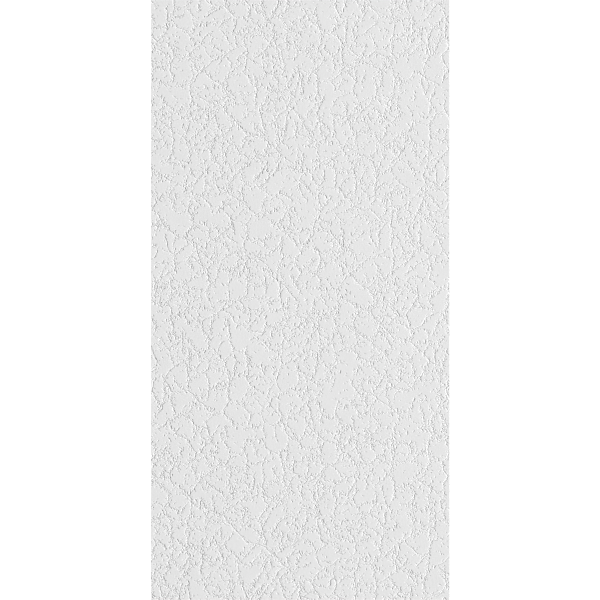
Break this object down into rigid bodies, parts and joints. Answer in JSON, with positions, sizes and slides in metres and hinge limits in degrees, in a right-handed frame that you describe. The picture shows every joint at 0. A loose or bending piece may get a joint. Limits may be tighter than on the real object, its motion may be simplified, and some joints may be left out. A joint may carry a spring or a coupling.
{
  "type": "suspended ceiling tile",
  "caption": "Square-edged lay-in ceiling tile: a flat oblong mineral-fibre board with a plain back and a matte white face embossed with a crackle of raised veins.",
  "frame": {"origin": "middle of the plain back, on the surface that the board lies on", "axes": "+Z out of the textured face, +Y along the board's length, +X across its width"},
  "size_m": [0.603, 1.213, 0.0159],
  "materials": {
    "painted_board": "matte white paint on pressed mineral fibre"
  },
  "bodies": {
    "root": {"ceiling_tile": "painted_board"}
  },
  "joints": []
}
